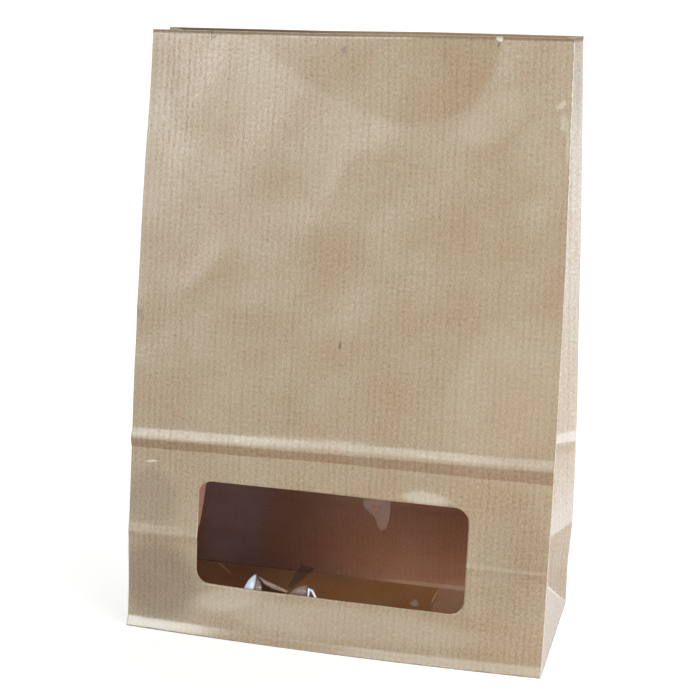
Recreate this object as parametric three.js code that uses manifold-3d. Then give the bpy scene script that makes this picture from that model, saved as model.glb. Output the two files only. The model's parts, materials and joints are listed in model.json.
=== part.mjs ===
// A block-bottom kraft paper bread bag with a clear window, standing open on its own base.
// Millimetres, +Z up. The origin is the centre of the underside, and the window faces -Y.
import * as THREE from "three";
import { mergeVertices } from "three/addons/utils/BufferGeometryUtils.js";
import Module from "manifold-3d";

// Driving dimensions: the bag as it is cut and folded.
const WIDTH = 180; // front and back panel at the base, fold to fold
const MOUTH_WIDTH = 174.5; // the same at the mouth, where the folds draw together
const SIDE_BOW = 1.4; // how far the side folds stand out at mid height
const DEPTH = 82; // side gusset, fold to fold, and the block bottom
const PANEL = 254; // paper length from the bottom fold to the mouth edge
const WALL = 0.35; // wall of the solid
const FLOOR = 0.8; // the bottom, where flaps lie one on another
const FRONT_LEAN = 32; // how far the front mouth edge stands behind its bottom fold
const BACK_LEAN = 28.5; // how far the back mouth edge stands before its bottom fold

// The window and its film.
const WINDOW_WIDTH = 115.4;
const WINDOW_LOW = 22.5; // lower and upper edge, up the panel
const WINDOW_HIGH = 66.7;
const WINDOW_RADIUS = 6;
const FILM_MARGIN = 7; // glued border round the window
const FILM_THICK = 0.3;
const FILM_GAP = 0.3; // clearance for the glue between paper and film
const FILM_LOOSE = 12; // height of the lower border that has come loose
const FILM_BUCKLE = 1.2; // half the depth of its waves

// Creases and dents in the paper.
const HALF = DEPTH / 2; // height of the lower crease, where the gusset folds meet
const CREASE = 84; // height of the main crease, just over one depth up
const RIDGE = 1.1; // how far the main crease stands out of the front
const RIDGE_HALF = 4.2; // from its crest to either foot
const LOW_RIDGE = 0.3; // the same for the lower crease
const LOW_RIDGE_HALF = 4;
const HEM = 4.5; // the bottom fold flares over this height
const HEM_FLARE = 0.8;
const BULGE = 4; // the middle of the front mouth edge stands forward
const BULGE_X = 15; // centre, half width and height of that bulge
const BULGE_HALF = 50;
const BULGE_HEIGHT = 38;

// Steps of the faceted surfaces.
const FRONT_STEPS = 24;
const BACK_STEPS = 12;
const GUSSET_STEPS = 8;
const FILM_STEPS = 24;

const PAPER = new THREE.MeshStandardMaterial({ color: 0xb59c79, roughness: 0.72, metalness: 0 });
const FILM = new THREE.MeshStandardMaterial({
  color: 0xe9edef,
  roughness: 0.12,
  metalness: 0,
  transparent: true,
  opacity: 0.3,
});

const wasm = await Module();
wasm.setup();

const { lerp, clamp } = THREE.MathUtils;

// ---- The standing shape, as a function of the place on the paper ----

function halfWidth(v) {
  const bow = SIDE_BOW * Math.sin((Math.PI * v) / PANEL);
  return lerp(WIDTH, MOUTH_WIDTH, v / PANEL) / 2 + bow;
}

// Side view of the two panels: each leans in by its own angle. Gives y and z at v up the paper.
const FRONT_ANGLE = Math.asin(FRONT_LEAN / PANEL);
const BACK_ANGLE = Math.asin(BACK_LEAN / PANEL);
const frontLine = (v) => [v * Math.sin(FRONT_ANGLE) - HALF, v * Math.cos(FRONT_ANGLE)];
const backLine = (v) => [HALF - v * Math.sin(BACK_ANGLE), v * Math.cos(BACK_ANGLE)];

// A ridge of triangular section.
const ridge = (distance, half) => Math.max(0, 1 - Math.abs(distance) / half);

// The gusset keeps its paper width, so its middle fold moves in as the panels draw together.
function gussetPush(v) {
  const gap = backLine(v)[0] - frontLine(v)[0];
  return Math.sqrt(Math.max(0, HALF ** 2 - (gap / 2) ** 2));
}
const LOW_PUSH = gussetPush(HALF);
const LOW_DROP = HALF - Math.sqrt(HALF ** 2 - LOW_PUSH ** 2);

// How far the front panel stands forward of its plane at x across and v up.
function frontRelief(x, v) {
  const creases = RIDGE * ridge(v - CREASE, RIDGE_HALF) + LOW_RIDGE * ridge(v - HALF, LOW_RIDGE_HALF);
  const hem = HEM_FLARE * clamp(v / HEM, 0, 1) * clamp((HALF - v) / (HALF - HEM), 0, 1);
  const reach = Math.hypot((x - BULGE_X) / BULGE_HALF, (PANEL - v) / BULGE_HEIGHT);
  return creases - hem + BULGE * Math.max(0, 1 - reach ** 2);
}

// A point of the front panel, a from -1 to 1 across, or one the given depth behind it.
function frontPoint(a, v, depth = 0) {
  const [y, z] = frontLine(v);
  const x = a * halfWidth(v);
  return new THREE.Vector3(x, y - frontRelief(x, v) + depth / Math.cos(FRONT_ANGLE), z);
}

// The same of the back panel, where the main crease runs on as a groove.
function backPoint(a, v) {
  const [y, z] = backLine(v);
  return new THREE.Vector3(a * halfWidth(v), y - RIDGE * ridge(v - CREASE, RIDGE_HALF), z);
}

// A point of a side gusset, a from 0 at the front fold to 1 at the back fold.
function gussetPoint(side, a, v) {
  const share = Math.min(1 - Math.abs(2 * a - 1), v / HALF);
  const push = gussetPush(Math.max(v, HALF)) * share;
  const point = frontPoint(side, v).lerp(backPoint(side, v), a);
  return point.add(new THREE.Vector3(-side * push, 0, -LOW_DROP * share));
}

// ---- Meshes ----

// Evenly spaced values, without the last.
const steps = (count, from, to) => Array.from({ length: count }, (_, i) => lerp(from, to, i / count));

// The columns round the bag, anticlockwise seen from above, each a function of the height.
function columnsRound() {
  const front = steps(FRONT_STEPS, -1, 1).map((a) => (v) => frontPoint(a, v));
  const right = steps(GUSSET_STEPS, 0, 1).map((a) => (v) => gussetPoint(1, a, v));
  const back = steps(BACK_STEPS, 1, -1).map((a) => (v) => backPoint(a, v));
  const left = steps(GUSSET_STEPS, 1, 0).map((a) => (v) => gussetPoint(-1, a, v));
  return [...front, ...right, ...back, ...left];
}

// The second half of each gusset is split the other way, along the slanting folds of the bottom.
function fallsBack(column) {
  const half = GUSSET_STEPS / 2;
  const right = FRONT_STEPS + half;
  const left = FRONT_STEPS + GUSSET_STEPS + BACK_STEPS + half;
  return (column >= right && column < right + half) || (column >= left && column < left + half);
}

// Heights of the rows, close together where the paper is creased.
function rowHeights() {
  const eighth = DEPTH / GUSSET_STEPS;
  const low = [0, HEM, eighth, 2 * eighth, 3 * eighth, HALF - LOW_RIDGE_HALF, HALF, HALF + LOW_RIDGE_HALF];
  const middle = [57, 69, CREASE - RIDGE_HALF, CREASE, CREASE + RIDGE_HALF];
  const high = steps(6, CREASE + 16, PANEL - BULGE_HEIGHT);
  const mouth = steps(4, PANEL - BULGE_HEIGHT, PANEL);
  return [...low, ...middle, ...high, ...mouth, PANEL];
}

// The two triangles of a grid cell from its corners, anticlockwise.
const cell = (a, b, c, d, other) => (other ? [a, b, d, b, c, d] : [a, b, c, a, c, d]);

function geometryOf(points, index) {
  const geometry = new THREE.BufferGeometry().setFromPoints(points);
  return geometry.setIndex(index);
}

// Each point moved inwards, so that it lies the given thickness behind every face that meets there.
// At each point this solves the sum of n n' times the move = the sum of n times the thickness.
function inset(points, index, thickness) {
  const steady = 1e-3; // keeps the sum invertible where all faces lie in one plane
  const sums = points.map(() => new THREE.Matrix3().identity().multiplyScalar(steady));
  const aims = points.map(() => new THREE.Vector3());
  const face = new THREE.Triangle();
  const n = new THREE.Vector3();
  for (let i = 0; i < index.length; i += 3) {
    const corners = index.slice(i, i + 3);
    face.set(...corners.map((k) => points[k])).getNormal(n);
    const parts = n.toArray();
    for (const k of corners) {
      parts.forEach((p, row) => parts.forEach((q, column) => (sums[k].elements[3 * row + column] += p * q)));
      aims[k].addScaledVector(n, thickness(n));
    }
  }
  return points.map((point, k) => point.clone().sub(aims[k].applyMatrix3(sums[k].invert())));
}

// The paper as one closed skin: outside, inside, the rim of the mouth and both faces of the bottom.
function bagGeometry() {
  const columns = columnsRound();
  const rows = rowHeights();
  const count = columns.length;
  const outside = rows.flatMap((v) => columns.map((at) => at(v)));
  const centre = outside.length;
  outside.push(new THREE.Vector3(0, 0, 0));
  const index = [];
  for (let column = 0; column < count; column++) {
    const next = (column + 1) % count;
    for (let row = 0; row < rows.length - 1; row++) {
      const [low, high] = [row * count, (row + 1) * count];
      index.push(...cell(low + column, low + next, high + next, high + column, fallsBack(column)));
    }
    index.push(next, column, centre);
  }
  const inside = inset(outside, index, (normal) => (normal.z < -0.99 ? FLOOR : WALL));
  const shift = outside.length;
  const inner = index.map((k) => k + shift).reverse();
  const rim = [];
  const top = (rows.length - 1) * count;
  for (let column = 0; column < count; column++) {
    const [a, b] = [top + column, top + ((column + 1) % count)];
    rim.push(...cell(a, b, b + shift, a + shift));
  }
  return geometryOf([...outside, ...inside], [...index, ...inner, ...rim]);
}

// A rounded rectangle, centred across and measured up the panel.
function windowOutline() {
  const [half, low, high, r] = [WINDOW_WIDTH / 2, WINDOW_LOW, WINDOW_HIGH, WINDOW_RADIUS];
  const outline = new THREE.Shape();
  outline.moveTo(-half + r, low);
  outline.lineTo(half - r, low);
  outline.absarc(half - r, low + r, r, -Math.PI / 2, 0);
  outline.absarc(half - r, high - r, r, 0, Math.PI / 2);
  outline.absarc(-half + r, high - r, r, Math.PI / 2, Math.PI);
  outline.absarc(-half + r, low + r, r, Math.PI, 1.5 * Math.PI);
  return outline;
}

// The cutter for the window: the outline pushed through the leaning front panel.
function windowCutter() {
  const reach = 6;
  const options = { depth: 2 * reach, bevelEnabled: false, curveSegments: 6 };
  const geometry = new THREE.ExtrudeGeometry(windowOutline(), options).translate(0, 0, -reach);
  return geometry.rotateX(Math.PI / 2 - FRONT_ANGLE).translate(0, -HALF, 0);
}

// How far the loose lower border of the film has buckled inwards.
function filmBuckle(a, v) {
  const loose = clamp((WINDOW_LOW - FILM_MARGIN + FILM_LOOSE - v) / FILM_LOOSE, 0, 1);
  return loose * FILM_BUCKLE * (1 + Math.sin(9 * a + 1) * Math.cos(4 * a));
}

// The film behind the window, as a grid of front points doubled to its thickness.
function filmGeometry() {
  const half = (WINDOW_WIDTH / 2 + FILM_MARGIN) / halfWidth(HALF);
  const low = WINDOW_LOW - FILM_MARGIN;
  const fold = [HALF - LOW_RIDGE_HALF, HALF, HALF + LOW_RIDGE_HALF];
  const rows = [...steps(4, low, low + FILM_LOOSE + 4), ...fold, 58, WINDOW_HIGH + FILM_MARGIN];
  const across = [...steps(FILM_STEPS, -half, half), half];
  const place = (a, v, extra) => frontPoint(a, v, WALL + FILM_GAP + extra + filmBuckle(a, v));
  const sheet = (extra) => rows.flatMap((v) => across.map((a) => place(a, v, extra)));
  const points = [...sheet(0), ...sheet(FILM_THICK)];
  const count = across.length;
  const shift = points.length / 2;
  const index = [];
  for (let row = 0; row < rows.length - 1; row++) {
    for (let column = 0; column < count - 1; column++) {
      const a = row * count + column;
      index.push(...cell(a, a + 1, a + 1 + count, a + count));
    }
  }
  const behind = index.map((k) => k + shift).reverse();
  const edge = filmEdge(rows.length, count, shift);
  return geometryOf(points, [...index, ...behind, ...edge]);
}

// The film's cut edge, round the border of its grid.
function filmEdge(rows, count, shift) {
  const border = [];
  for (let column = 0; column < count - 1; column++) border.push(column);
  for (let row = 0; row < rows - 1; row++) border.push(row * count + count - 1);
  for (let column = count - 1; column > 0; column--) border.push((rows - 1) * count + column);
  for (let row = rows - 1; row > 0; row--) border.push(row * count);
  const next = [...border.slice(1), border[0]];
  return border.flatMap((a, i) => cell(next[i], a, a + shift, next[i] + shift));
}

// ---- Cutting, and the finished pieces ----

function solidOf(geometry) {
  const bare = geometry.clone();
  bare.deleteAttribute("normal").deleteAttribute("uv");
  const merged = mergeVertices(bare);
  const vertProperties = new Float32Array(merged.getAttribute("position").array);
  const triVerts = new Uint32Array(merged.index.array);
  return new wasm.Manifold(new wasm.Mesh({ numProp: 3, vertProperties, triVerts }));
}

function geometryOfSolid(solid) {
  const mesh = solid.getMesh();
  const geometry = new THREE.BufferGeometry();
  geometry.setAttribute("position", new THREE.BufferAttribute(new Float32Array(mesh.vertProperties), 3));
  return geometry.setIndex(new THREE.BufferAttribute(new Uint32Array(mesh.triVerts), 1));
}

function named(name, geometry, material) {
  const mesh = new THREE.Mesh(geometry, material);
  mesh.name = name;
  return mesh;
}

const paper = solidOf(bagGeometry()).subtract(solidOf(windowCutter()));
const bag = new THREE.Group();
bag.add(named("paper_bag", geometryOfSolid(paper), PAPER));
bag.add(named("window_film", filmGeometry(), FILM));
export default bag;
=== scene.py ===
import json
import math

import bmesh
import bpy
import numpy as np
from mathutils import Matrix, Vector

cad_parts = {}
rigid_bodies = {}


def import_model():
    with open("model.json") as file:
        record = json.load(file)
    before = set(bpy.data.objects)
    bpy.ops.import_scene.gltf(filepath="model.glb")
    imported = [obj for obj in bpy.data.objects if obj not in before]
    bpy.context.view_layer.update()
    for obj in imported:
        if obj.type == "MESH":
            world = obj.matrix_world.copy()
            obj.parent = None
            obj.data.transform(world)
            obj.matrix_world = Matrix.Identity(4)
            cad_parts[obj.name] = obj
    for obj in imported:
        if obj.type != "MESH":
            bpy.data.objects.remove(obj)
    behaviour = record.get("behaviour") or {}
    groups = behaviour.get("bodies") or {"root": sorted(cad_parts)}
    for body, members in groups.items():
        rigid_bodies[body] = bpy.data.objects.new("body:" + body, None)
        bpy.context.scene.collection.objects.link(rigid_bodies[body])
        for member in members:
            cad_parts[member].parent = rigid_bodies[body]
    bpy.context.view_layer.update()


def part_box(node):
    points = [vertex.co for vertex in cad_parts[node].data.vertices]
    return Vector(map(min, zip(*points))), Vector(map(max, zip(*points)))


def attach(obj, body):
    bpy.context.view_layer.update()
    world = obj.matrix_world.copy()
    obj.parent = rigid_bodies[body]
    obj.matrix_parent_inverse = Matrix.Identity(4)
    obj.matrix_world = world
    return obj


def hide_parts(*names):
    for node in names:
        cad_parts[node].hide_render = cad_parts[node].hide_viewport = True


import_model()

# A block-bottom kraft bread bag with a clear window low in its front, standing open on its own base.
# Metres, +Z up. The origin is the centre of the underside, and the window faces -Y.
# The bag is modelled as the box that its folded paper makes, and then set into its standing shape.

MM = 0.001

# ---- Driving sizes, as cut and folded ----

BAG_LOW, BAG_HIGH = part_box("paper_bag")
DEPTH = BAG_HIGH.y - BAG_LOW.y  # side gusset, fold to fold, and the block bottom
HALF = DEPTH / 2
FRONT_LEAN = 32 * MM  # how far the front mouth edge stands behind its bottom fold
BACK_LEAN = 28.5 * MM
PANEL = math.hypot(BAG_HIGH.z, BACK_LEAN)  # paper length from the bottom fold to the mouth edge
WIDTH = 180 * MM
MOUTH_WIDTH = 174.5 * MM
SIDE_BOW = 1.4 * MM
PAPER = 0.09 * MM
FOLD_ROUND = 0.35 * MM  # half the width of a folded edge
FOLD_SOFT = 0.9 * MM  # the paper is bent this far from each fold
GRID = 2.1 * MM  # cell of the paper's mesh
PAPER_SMOOTH = 38  # edges sharper than this many degrees stay sharp

WINDOW_WIDTH = 115.4 * MM
WINDOW_LOW = 22.5 * MM
WINDOW_HIGH = 66.7 * MM
WINDOW_RADIUS = 6 * MM
WINDOW_TURN = 0.006  # radians; the window sits a little askew
WINDOW_SHIFT = -1.0 * MM  # and this far from the front's middle
CUTTER_DEEP = 8 * MM  # the bar that cuts it stands through the front by half of this
FILM_MARGIN = 7 * MM
FILM_THICK = 0.04 * MM
FILM_GAP = 0.03 * MM

# The main crease, pressed across the front and round the sides.
CREASE = 84 * MM  # height up the front panel
CREASE_SLOPE = 0.013  # it climbs a little to the right
CREASE_FALL = 5.0 * MM  # how much lower it lies at the back fold
CREASE_FALL_SPAN = 16 * MM  # the paper this far above and below it goes down with it
RIDGE = 1.3 * MM  # how far its crest stands out
RIDGE_HALF = 4.2 * MM  # from its crest to its foot
RIDGE_FADE = 1.35  # the power that fades its upper flank into the panel
RIDGE_WIDER = 2.6 * MM  # its upper flank is wider by this in the middle
RIDGE_SPREAD = 0.4  # its lower flank is wider by this share at the right
BACK_RIDGE = 0.8 * MM  # depth of the groove that it makes in the back

# The weak crease below it, level with the top of the sides' triangles.
LOW_CREASE = 42.6 * MM
LOW_CREASE_FALL = 1.4 * MM  # how much lower it lies at the back fold
LOW_CREASE_DROP = 0.12  # on the sides it falls towards the middle fold, this much per length
LOW_CREASE_REACH = 22 * MM  # over no more than this length
LOW_CREASE_SPAN = 9 * MM  # the paper this far above and below it falls with it
LOW_RIDGE = 0.45 * MM
LOW_RIDGE_HALF = 3.4 * MM

# The hem: a bend just above the bottom fold, from where the front flares out.
HEM = 4.4 * MM
HEM_FLARE = 1.2 * MM
HEM_EASE = (20 * MM, 62 * MM)  # between these heights the panel comes forward again
# Place across in mm, and the share of the flare there.
HEM_ALONG = [(-90, 1.3), (-60, 1.0), (-35, 0.35), (0, 0.6), (90, 0.85)]

BASE_BOW = 2.6 * MM  # the front's bottom fold bows forward in the middle
BASE_BOW_HIGH = 45 * MM
FOOT_EASE = 2 * MM  # the panels' relief fades in over this height
# Height, and how far out the back fold flares there, both in mm.
BACK_FLARE = [(20, 0), (40, 1.3), (60, 1.5), (95, 1.5), (130, 1.0), (255, 1.0)]
# Place across the front, and how much higher the mouth is cut there, both in mm.
MOUTH_RISE = [(-20, 0), (25, 0.5), (90, 0.35)]
SHARP = 0.4 * MM  # half the width of a sharp bend
WELD = 0.045 * MM  # points closer than this are one

FRONT_ANGLE = math.asin(FRONT_LEAN / PANEL)
BACK_ANGLE = math.asin(BACK_LEAN / PANEL)


# ---- The standing shape, for arrays of places on the paper ----

def half_width(v):
    """Half the distance between the side folds at v up the paper."""
    return WIDTH / 2 + (MOUTH_WIDTH - WIDTH) / 2 * v / PANEL + SIDE_BOW * np.sin(math.pi * v / PANEL)


def ridge(distance, half, crest=0.25):
    """A ridge with sharp feet and a rounded crest, 1 high."""
    t = np.hypot(distance / half, crest)
    return np.clip((math.hypot(1, crest) - t) / (math.hypot(1, crest) - crest), 0, 1)


def hump(x, v, place, size, turn=0.0):
    """A soft round hump or, negated, a dent. Sizes are the half width and half height."""
    dx, dv = x - place[0] * MM, v - place[1] * MM
    c, s = math.cos(turn), math.sin(turn)
    across, along = (c * dx + s * dv) / (size[0] * MM), (c * dv - s * dx) / (size[1] * MM)
    return np.exp(-(across**2 + along**2))


def mouth_bulge(x, v):
    """The middle of the front mouth edge stands forward inside a curved crease."""
    centre, right, left, height, lift = 23 * MM, 35 * MM, 66 * MM, 34.5 * MM, 5.7 * MM
    round_right, pointed_left, flank = 2.0, 1.35, 1.15
    down = np.clip((PANEL - v) / height, 0, 2)
    across = np.abs(x - centre) / np.where(x > centre, right, left)
    power = np.where(x > centre, round_right, pointed_left)
    reach = (across**power + down**power) ** (1 / power)
    return lift * np.clip(1 - reach**flank, 0, 1)


# Soft waves of the panels: place and half sizes in mm, turn in radians, height in mm.
# A hump catches the light above its top and loses it below.
FRONT_WAVES = [
    ((-84, 236), (9, 26), 0.12, -1.1),
    ((-62, 238), (12, 20), 0.0, 0.35),
    ((-34, 212), (13, 10), 0.5, 0.5),
    ((8, 208), (12, 7), 0.1, 0.45),
    ((46, 196), (9, 22), -0.35, 0.6),
    ((72, 196), (10, 30), 0.1, -0.7),
    ((-4, 196), (3, 9), -0.35, 0.3),
    ((-22, 190), (16, 9), 0.3, -0.5),
    ((72, 168), (10, 8), 0.3, -0.5),
    ((-62, 152), (5, 16), -0.7, 0.5),
    ((-88, 140), (7, 8), 0.3, 0.5),
    ((3, 156), (9, 13), 0.0, -0.55),
    ((38, 166), (12, 12), 0.3, -0.6),
    ((-37, 142), (12, 7), 0.2, 0.35),
    ((34, 117), (15, 6), -0.15, 0.5),
    ((-76, 110), (14, 12), 0.2, 0.8),
    ((-20, 118), (6, 14), -0.4, 0.3),
    ((62, 112), (16, 14), -0.1, 0.5),
    ((80, 100), (8, 14), 0.0, -0.35),
    ((-79, 38), (14, 15), 0.6, 1.9),
    ((-60, 14), (12, 8), 0.3, -0.5),
    ((42, 74), (8, 5), -0.05, 0.5),
    ((74, 30), (14, 12), 0.2, 0.45),
    ((10, 1), (60, 15), 0.0, 1.1),
    ((62, 96), (12, 10), 0.1, 0.45),
]
BACK_WAVES = [
    ((-60, 200), (25, 50), 0.2, 0.6),
    ((50, 170), (30, 40), -0.2, -0.5),
    ((-20, 60), (40, 14), 0.0, 0.4),
    ((65, 40), (20, 18), 0.0, -0.5),
]
RIPPLES = 150  # small waves scattered over a panel
RIPPLE_SIZE = (5, 13)  # half sizes, mm
RIPPLE_SLOPE = 0.026  # height against half size


def scatter_ripples(seed):
    """A list of small waves, the same in each run."""
    draw = np.random.RandomState(seed)
    ripples = []
    for _ in range(RIPPLES):
        place = (draw.uniform(-90, 90), draw.uniform(5, 254))
        size = draw.uniform(*RIPPLE_SIZE, 2)
        height = RIPPLE_SLOPE * size.min() * draw.choice((-1, 1))
        turn = draw.uniform(-1, 1)
        ripples.append((place, size, turn, height))
    return ripples


def wave_relief(waves, x, v):
    """The waves' height, all added up."""
    return sum(height * MM * hump(x, v, place, size, turn) for place, size, turn, height in waves)


def front_relief(x, v):
    """How far the front panel stands forward of its plane."""
    crease = v - CREASE - CREASE_SLOPE * x
    below = RIDGE_HALF * (1 + RIDGE_SPREAD * np.clip(x / (WIDTH / 2), 0, 1))
    half = np.where(crease > 0, RIDGE_HALF + RIDGE_WIDER * hump(x, v * 0, (0, 0), (30, 9)), below)
    crest = ridge(crease, half) ** np.where(crease > 0, RIDGE_FADE, 1.0)
    out = RIDGE * crest + LOW_RIDGE * ridge(v - LOW_CREASE, LOW_RIDGE_HALF, 0.6)
    flare = HEM_FLARE * np.interp(x, *(np.array(HEM_ALONG) * (MM, 1)).T)
    out = out - flare * np.interp(v, [0, HEM, *HEM_EASE], [0, 1, 1, 0])
    out = out + mouth_bulge(x, v) + wave_relief(FRONT_WAVES + scatter_ripples(FRONT_RIPPLE_SEED), x, v)
    bow = BASE_BOW * (1 - (x / (WIDTH / 2)) ** 2) * np.clip(1 - v / BASE_BOW_HIGH, 0, 1) ** 2
    return out * np.clip(v / FOOT_EASE, 0, 1) + bow


SEAM = 24 * MM  # where the paper's glued edge lies on the back
SEAM_STEP = 0.16 * MM
SEAM_LAP = 40 * MM  # the step has sunk back this far on
SEAM_SINK = 34 * MM  # over this length
BACK_RIPPLE_SEED = 9
FRONT_RIPPLE_SEED = 4


def back_relief(x, v):
    """How far the back panel stands back from its plane. The main crease runs on as a groove."""
    out = -BACK_RIDGE * ridge(v - CREASE - CREASE_SLOPE * x, RIDGE_HALF)
    step = np.clip((x - SEAM) / (2 * SHARP) + 0.5, 0, 1)
    out = out + SEAM_STEP * step * np.clip((SEAM + SEAM_LAP - x) / SEAM_SINK, 0, 1)
    out = out + wave_relief(BACK_WAVES + scatter_ripples(BACK_RIPPLE_SEED), x, v)
    return out * np.clip(v / FOOT_EASE, 0, 1)


def gusset_push(v):
    """The gusset keeps its paper width, so its middle fold moves in as the panels draw together."""
    gap = DEPTH - v * (math.sin(FRONT_ANGLE) + math.sin(BACK_ANGLE))
    return np.sqrt(np.clip(HALF**2 - (gap / 2) ** 2, 0, None))


LOW_PUSH = float(gusset_push(HALF))
LOW_DROP = HALF - math.sqrt(HALF**2 - LOW_PUSH**2)

# The bottom's paper layers: the side triangles lie innermost, then the back flap, then the front flap.
LAYER = 0.15 * MM
LAYER_EASE = 1.5 * MM  # they come down to the floor within this of the bottom folds
FLAP_EDGE = 10 * MM  # free edge of the front flap, past the middle


def bottom_relief(x, y):
    """How far the underside stands up from the floor at each layer of the folded bottom."""
    slant = WIDTH / 2 - np.abs(x)
    front = np.clip((slant - (y + HALF)) / SHARP, 0, 1) * np.clip((FLAP_EDGE - y) / SHARP, 0, 1)
    back = np.clip((slant - (HALF - y)) / SHARP, 0, 1)
    inside = np.clip(np.minimum(slant, HALF - np.abs(y)) / LAYER_EASE, 0, 1)
    return LAYER * inside * np.where(front > 0, 1 - front, 2 - back)


def stand(points):
    """Moves points of the folded paper box to where they are as the bag stands."""
    x, y, v = points.T
    a = x / (WIDTH / 2)
    g = (y + HALF) / DEPTH
    flare = np.interp(v, *(np.array(BACK_FLARE).T * MM))
    wide = a * (half_width(v) + flare * g)
    inward = np.clip(HALF - np.abs(y), 0, LOW_CREASE_REACH)
    up = v - CREASE_FALL * np.clip(2 * g - 1, 0, 1) * np.exp(-(((v - CREASE) / CREASE_FALL_SPAN) ** 2))
    up = up - LOW_CREASE_DROP * inward * np.exp(-(((v - LOW_CREASE) / LOW_CREASE_SPAN) ** 2))
    front_y = up * math.sin(FRONT_ANGLE) - HALF - front_relief(wide, v)
    back_y = HALF - up * math.sin(BACK_ANGLE) + back_relief(wide, v)
    front_z, back_z = up * math.cos(FRONT_ANGLE), up * math.cos(BACK_ANGLE)
    low = LOW_CREASE - LOW_CREASE_FALL * g
    share = np.clip(np.minimum(1 - np.abs(2 * g - 1), v / low), 0, 1)
    share = np.where(np.abs(x) > WIDTH / 2 - 2 * FOLD_ROUND, share, 0)
    push = gusset_push(np.maximum(v, low)) * share
    underside = np.where(v < FOLD_ROUND / 2, bottom_relief(wide, y), 0)
    rise = np.interp(wide, *(np.array(MOUTH_RISE).T * MM)) * (v / PANEL) ** 4
    return np.stack([
        wide - np.sign(x) * push,
        front_y + (back_y - front_y) * g,
        front_z + (back_z - front_z) * g - LOW_DROP * share + underside + rise,
    ], 1)


# ---- Modelling ----

def clear_selection():
    """Deselects every object."""
    bpy.ops.object.select_all(action="DESELECT")


def edit(obj):
    """Opens the object for editing with nothing selected."""
    clear_selection()
    obj.select_set(True)
    bpy.context.view_layer.objects.active = obj
    bpy.ops.object.mode_set(mode="EDIT")
    bpy.ops.mesh.select_all(action="DESELECT")


def leave_edit():
    """Goes back to object mode."""
    bpy.ops.object.mode_set(mode="OBJECT")


def pick(obj, mode, test):
    """In edit mode, selects the faces or edges that pass the test."""
    bpy.ops.mesh.select_all(action="DESELECT")
    bpy.ops.mesh.select_mode(type=mode)
    mesh = bmesh.from_edit_mesh(obj.data)
    for part in mesh.faces if mode == "FACE" else mesh.edges:
        if test(part):
            part.select_set(True)
    mesh.select_flush_mode()
    bmesh.update_edit_mesh(obj.data)


def centre(part):
    """The middle of a face's or an edge's corners."""
    return sum((v.co for v in part.verts), Vector()) / len(part.verts)


CUT_NEAR = 0.05 * MM  # a cut runs through the points that are closer than this


def cut(obj, plane, test=lambda face: True):
    """Cuts the faces that pass the test by a plane, given as a point and a normal."""
    pick(obj, "FACE", test)
    bpy.ops.mesh.bisect(plane_co=plane[0], plane_no=plane[1], use_fill=False, threshold=CUT_NEAR)


def divide_between(obj, axis, planes):
    """Divides the stretches between the cuts that cross one axis into cells of about the grid."""
    def band(edge):
        """The number of the stretch that the edge is in."""
        middle = centre(edge)
        return sum((middle - Vector(place)).dot(Vector(normal)) > 0 for place, normal in planes)

    def long_run(edge):
        """Whether the edge runs along the axis and is longer than a cell."""
        span = edge.verts[1].co - edge.verts[0].co
        return span.length > 1.4 * GRID and abs(span[axis]) > 0.9 * span.length

    longest = {}
    for edge in filter(long_run, bmesh.from_edit_mesh(obj.data).edges):
        longest[band(edge)] = max(longest.get(band(edge), 0), edge.calc_length())
    for number, length in sorted(longest.items()):
        def runs_here(edge):
            """Whether the edge crosses this stretch along most of its length."""
            return long_run(edge) and band(edge) == number and edge.calc_length() > length / 2
        pick(obj, "EDGE", runs_here)
        bpy.ops.mesh.subdivide(number_cuts=max(1, round(length / GRID) - 1))


def in_window(x, z, margin=0.0):
    """Whether a point of the flat front panel lies inside the window's rounded outline."""
    c, s = math.cos(WINDOW_TURN), math.sin(WINDOW_TURN)
    up = z - (WINDOW_LOW + WINDOW_HIGH) / 2
    across = x - WINDOW_SHIFT
    dx = abs(c * across - s * up) - WINDOW_WIDTH / 2 + WINDOW_RADIUS
    dz = abs(s * across + c * up) - (WINDOW_HIGH - WINDOW_LOW) / 2 + WINDOW_RADIUS
    return math.hypot(max(dx, 0), max(dz, 0)) + min(max(dx, dz), 0) < WINDOW_RADIUS + margin


def make_paper():
    """The paper folded to an open box, with its folds rounded."""
    bpy.ops.mesh.primitive_cube_add(size=1, location=(0, 0, PANEL / 2))
    obj = bpy.context.active_object
    obj.name = obj.data.name = "kraft_bag"
    obj.scale = (WIDTH, DEPTH, PANEL)
    bpy.ops.object.transform_apply(location=True, rotation=True, scale=True)
    edit(obj)
    pick(obj, "FACE", lambda f: f.normal.z > 0.9)
    bpy.ops.mesh.delete(type="FACE")
    pick(obj, "EDGE", lambda e: not e.is_boundary)
    bpy.ops.mesh.bevel(offset=FOLD_ROUND, offset_type="OFFSET", segments=2, profile=0.5, affect="EDGES")
    return obj


def crease_planes():
    """The planes that cut the paper beside its folds and along its creases, for each axis."""
    places_across = (FOLD_SOFT - WIDTH / 2, WIDTH / 2 - FOLD_SOFT, SEAM - SHARP, SEAM + SHARP)
    places_deep = (-HALF + FOLD_SOFT, 0, FLAP_EDGE - SHARP, FLAP_EDGE, HALF - FOLD_SOFT)
    across = [((x, 0, 0), (1, 0, 0)) for x in places_across]
    deep = [((0, y, 0), (0, 1, 0)) for y in places_deep]
    up = [((0, 0, v), (0, 0, 1)) for v in (FOLD_SOFT, HEM - SHARP, HEM + SHARP)]
    for half, place, normal in (
        (LOW_RIDGE_HALF, (0, -HALF, LOW_CREASE), (0, LOW_CREASE_FALL / DEPTH, 1)),
        (RIDGE_HALF, (0, 0, CREASE), (-CREASE_SLOPE, 0, 1)),
    ):
        for shift in (-half - SHARP, -half + SHARP, 0, half - SHARP, half + SHARP):
            up.append(((place[0], place[1], place[2] + shift), normal))
    return across, deep, up


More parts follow.
